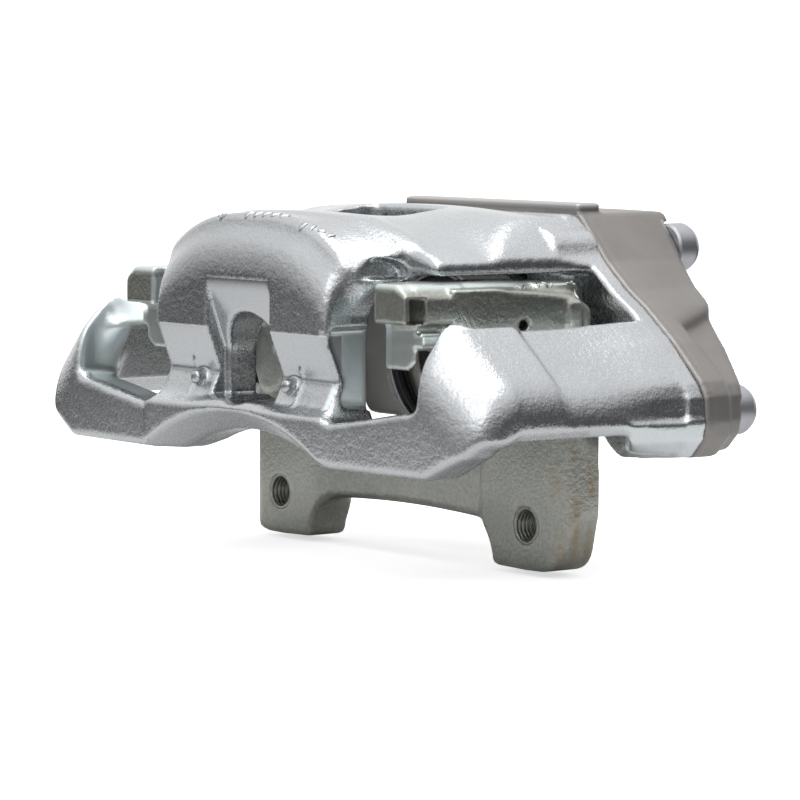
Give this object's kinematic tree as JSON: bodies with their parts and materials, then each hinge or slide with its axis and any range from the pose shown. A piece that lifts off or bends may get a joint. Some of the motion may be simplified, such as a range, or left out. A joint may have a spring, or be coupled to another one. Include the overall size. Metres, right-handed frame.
{
  "type": "brake caliper",
  "caption": "Floating brake caliper: plated iron frame over the disc, aluminium cylinder housing bolted inboard, sliding on an iron carrier.",
  "frame": {"origin": "midway between the two threaded knuckle holes, on the face of the carrier's lugs that meets the knuckle", "axes": "+X along the disc's rim, +Y along the disc's axis towards the knuckle and away from the wheel, +Z radially outwards from the disc's axis"},
  "size_m": [0.304, 0.1965, 0.151],
  "materials": {
    "zinc_plated_iron": "rough sand casting, bright zinc plated",
    "cast_aluminium": "matte warm grey die-cast aluminium",
    "plated_steel": "smooth dull zinc",
    "piston_steel": "ground and plated",
    "black_rubber": "moulded black rubber"
  },
  "bodies": {
    "carrier": {"carrier": "zinc_plated_iron", "guide_pin_left": "plated_steel", "guide_pin_right": "plated_steel"},
    "caliper": {"frame": "zinc_plated_iron", "cylinder_housing": "cast_aluminium", "frame_bolt_upper_left": "plated_steel", "frame_bolt_upper_right": "plated_steel", "frame_bolt_lower_left": "plated_steel", "frame_bolt_lower_right": "plated_steel", "guide_bushing_left": "black_rubber", "guide_bushing_right": "black_rubber", "guide_cap_left": "black_rubber", "guide_cap_right": "black_rubber", "piston_seal": "black_rubber", "dust_boot": "black_rubber", "boot_ring": "plated_steel"},
    "piston": {"piston": "piston_steel"},
    "bleed_screw": {"bleed_screw": "plated_steel"},
    "bleed_cap": {"bleed_cap": "black_rubber"}
  },
  "joints": [
    {"name": "caliper_float", "type": "slide", "parent": "carrier", "child": "caliper", "axis": [0, 1, 0], "range_m": [-0.003, 0.013]},
    {"name": "piston_stroke", "type": "slide", "parent": "caliper", "child": "piston", "axis": [0, -1, 0], "range_m": [0, 0.034]},
    {"name": "bleed_screw_turn", "type": "hinge", "parent": "caliper", "child": "bleed_screw", "pos_m": [0, 0.066, 0.114], "axis": [0, 1, 0], "range_deg": [0, 180]},
    {"name": "bleed_cap_pull", "type": "slide", "parent": "bleed_screw", "child": "bleed_cap", "axis": [0, 1, 0], "range_m": [0, 0.02]}
  ]
}
